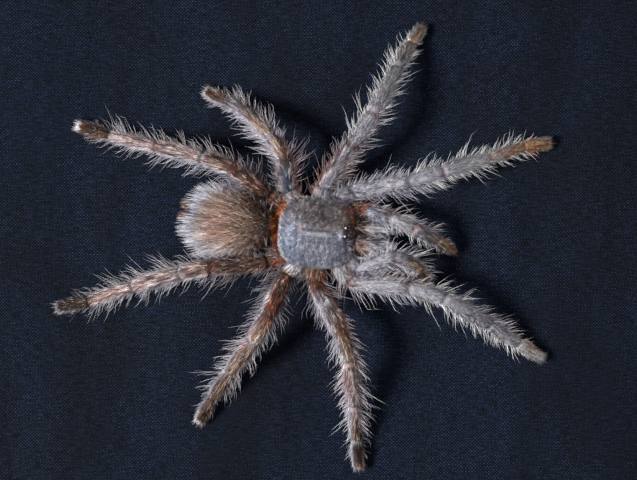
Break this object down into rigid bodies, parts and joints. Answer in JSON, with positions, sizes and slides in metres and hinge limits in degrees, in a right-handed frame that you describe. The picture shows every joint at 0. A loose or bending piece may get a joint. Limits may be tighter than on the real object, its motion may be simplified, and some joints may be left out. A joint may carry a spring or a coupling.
{
  "type": "framed tarantula specimen",
  "caption": "Dried, spread tarantula fixed on a dark cloth-covered board inside an open, deep wooden box frame.",
  "frame": {"origin": "centre of the plane of the frame's back, with the frame lying on its back", "axes": "+X along the frame's long side towards the spider's head, +Y towards the frame's top edge, where the hanger is, +Z out of the frame's front"},
  "size_m": [0.261, 0.201, 0.032],
  "materials": {
    "frame_wood": "dark stained wood, satin",
    "hardboard": "brown hardboard, matt",
    "card": "pale mount board, matt",
    "cloth": "dark navy plain-woven cotton, matt",
    "steel": "zinc-plated sheet steel",
    "carapace": "grey carapace under short felted hair, steel-blue sheen",
    "abdomen": "tan skin under a dense swept-back coat, paler towards the rim",
    "leg_cuticle": "brown-grey cuticle under pale pile and long pale hairs",
    "fang": "black-brown glossy chitin",
    "spinneret": "orange-brown, finely haired",
    "adhesive": "set adhesive, dull"
  },
  "bodies": {
    "root": {"frame_rail_top": "frame_wood", "frame_rail_left": "frame_wood", "frame_rail_bottom": "frame_wood", "frame_rail_right": "frame_wood", "back_panel": "hardboard", "mount_board": "card", "backing_cloth": "cloth", "retaining_tab_top": "steel", "retaining_tab_left": "steel", "retaining_tab_bottom": "steel", "retaining_tab_right": "steel", "sawtooth_hanger": "steel", "carapace": "carapace", "sternum_and_coxae": "leg_cuticle", "abdomen": "abdomen", "adhesive_pad": "adhesive", "chelicera_left": "leg_cuticle", "chelicera_right": "leg_cuticle", "fang_left": "fang", "fang_right": "fang", "spinneret_left": "spinneret", "spinneret_right": "spinneret", "palp_left_femur": "leg_cuticle", "palp_left_tibia": "leg_cuticle", "palp_left_tarsus": "leg_cuticle", "palp_right_femur": "leg_cuticle", "palp_right_tibia": "leg_cuticle", "palp_right_tarsus": "leg_cuticle", "leg_left_1_femur": "leg_cuticle", "leg_left_1_patella": "leg_cuticle", "leg_left_1_tibia": "leg_cuticle", "leg_left_1_foot": "leg_cuticle", "leg_left_2_femur": "leg_cuticle", "leg_left_2_patella": "leg_cuticle", "leg_left_2_tibia": "leg_cuticle", "leg_left_2_foot": "leg_cuticle", "leg_left_3_femur": "leg_cuticle", "leg_left_3_patella": "leg_cuticle", "leg_left_3_tibia": "leg_cuticle", "leg_left_3_foot": "leg_cuticle", "leg_left_4_femur": "leg_cuticle", "leg_left_4_patella": "leg_cuticle", "leg_left_4_tibia": "leg_cuticle", "leg_left_4_foot": "leg_cuticle", "leg_right_1_femur": "leg_cuticle", "leg_right_1_patella": "leg_cuticle", "leg_right_1_tibia": "leg_cuticle", "leg_right_1_foot": "leg_cuticle", "leg_right_2_femur": "leg_cuticle", "leg_right_2_patella": "leg_cuticle", "leg_right_2_tibia": "leg_cuticle", "leg_right_2_foot": "leg_cuticle", "leg_right_3_femur": "leg_cuticle", "leg_right_3_patella": "leg_cuticle", "leg_right_3_tibia": "leg_cuticle", "leg_right_3_foot": "leg_cuticle", "leg_right_4_femur": "leg_cuticle", "leg_right_4_patella": "leg_cuticle", "leg_right_4_tibia": "leg_cuticle", "leg_right_4_foot": "leg_cuticle"}
  },
  "joints": []
}
